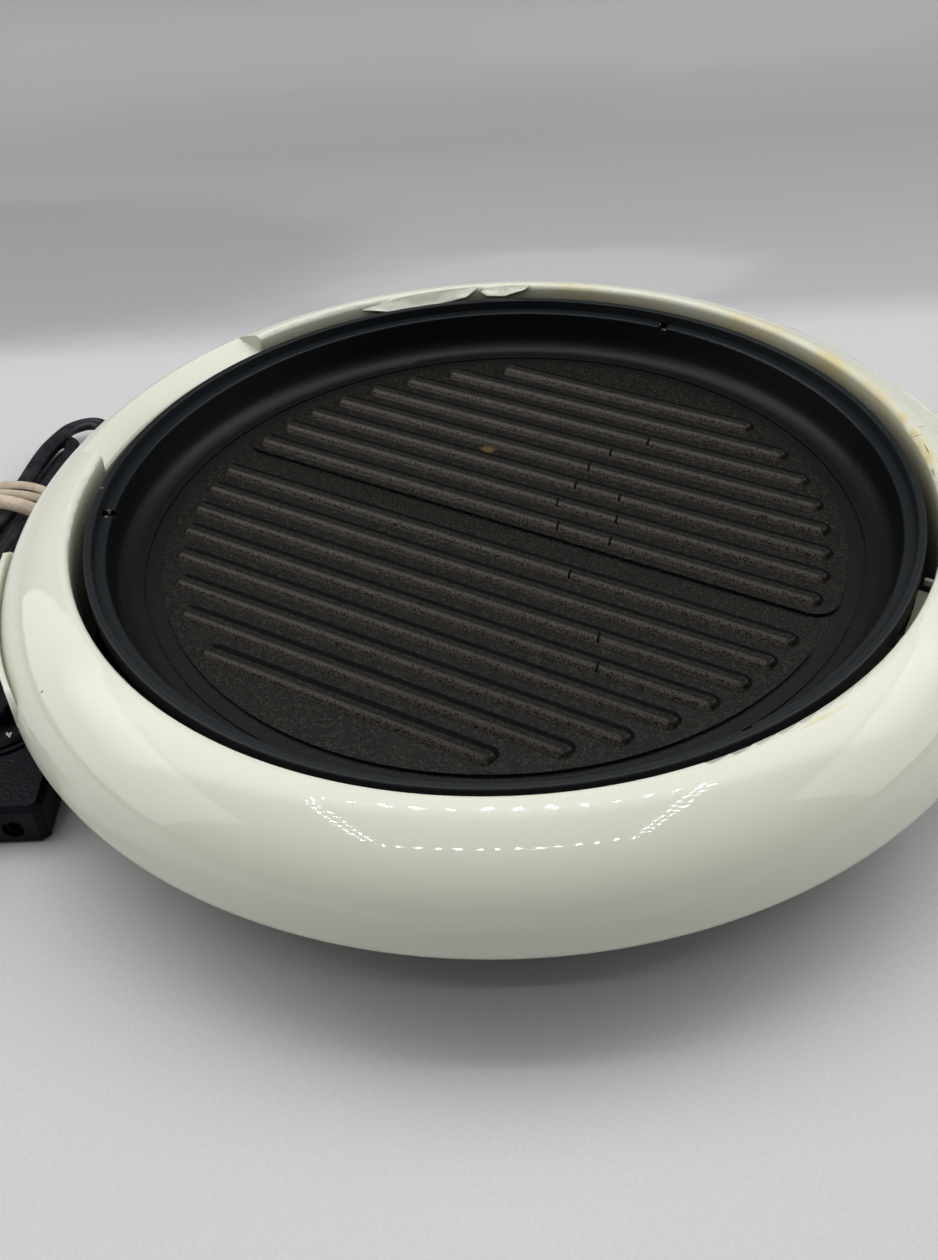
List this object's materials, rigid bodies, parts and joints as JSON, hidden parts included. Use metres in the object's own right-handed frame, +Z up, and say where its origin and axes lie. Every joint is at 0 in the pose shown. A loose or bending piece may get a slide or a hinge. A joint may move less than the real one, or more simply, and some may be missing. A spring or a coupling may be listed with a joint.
{
  "type": "indoor grill",
  "caption": "Round electric table grill: ridged non-stick pan in a fat white ring housing, with a loose temperature control and its tied flat cord.",
  "frame": {"origin": "on the table under the centre of the round housing", "axes": "+Z up; +X towards the opening for the control and along the ridges of the pan; the finger scoop faces -X"},
  "size_m": [0.4831, 0.4519, 0.0838],
  "materials": {
    "pan": "dark non-stick coating on cast metal",
    "element": "heat-darkened sheath",
    "pins": "plated",
    "insulator": "unglazed",
    "guard_sheet": "folded sheet",
    "housing": "gloss, slightly yellowed white",
    "base": "fine texture",
    "reflector": "bright rolled",
    "bracket_sheet": "zinc plated",
    "screw": "zinc plated",
    "foot": "matt",
    "control_case": "pebbled black",
    "control_dial": "satin black",
    "probe": "drawn tube",
    "contact": "stamped",
    "cord": "flat twin, satin black",
    "band": "natural rubber",
    "plug": "satin black",
    "blade": "stamped"
  },
  "bodies": {
    "housing": {"housing_ring": "housing", "base_shell": "base", "shell_screws": "screw", "foot_1": "foot", "foot_2": "foot", "foot_3": "foot", "foot_4": "foot", "heat_reflector": "reflector", "reflector_screws": "screw", "bracket_1": "bracket_sheet", "bracket_2": "bracket_sheet", "bracket_3": "bracket_sheet", "bracket_screws": "screw"},
    "pan": {"grill_pan": "pan", "heating_element": "element", "terminal_pins": "pins", "pin_insulators": "insulator", "terminal_guard": "guard_sheet"},
    "control": {"control_lower_case": "control_case", "control_upper_case": "control_case", "case_screws": "screw", "pin_sockets": "contact", "probe_tube": "probe", "thermostat_switch": "insulator", "strain_relief": "cord", "control_cord": "cord", "cord_hank": "cord", "plug_cord": "cord", "rubber_band": "band", "plug_body": "plug", "plug_blades": "blade"},
    "dial": {"dial": "control_dial", "dial_shaft": "pins"}
  },
  "joints": [
    {"name": "pan_tilt", "type": "hinge", "parent": "housing", "child": "pan", "pos_m": [0.16, 0, 0.05], "axis": [0, 1, 0], "range_deg": [0, 6]},
    {"name": "control_slide", "type": "slide", "parent": "housing", "child": "control", "axis": [-0.859, -0.512, 0], "range_m": [0, 0.15]},
    {"name": "dial_turn", "type": "hinge", "parent": "control", "child": "dial", "pos_m": [-0.14662, -0.14678, 0.0184], "axis": [0, 0, -1], "range_deg": [0, 280]}
  ]
}
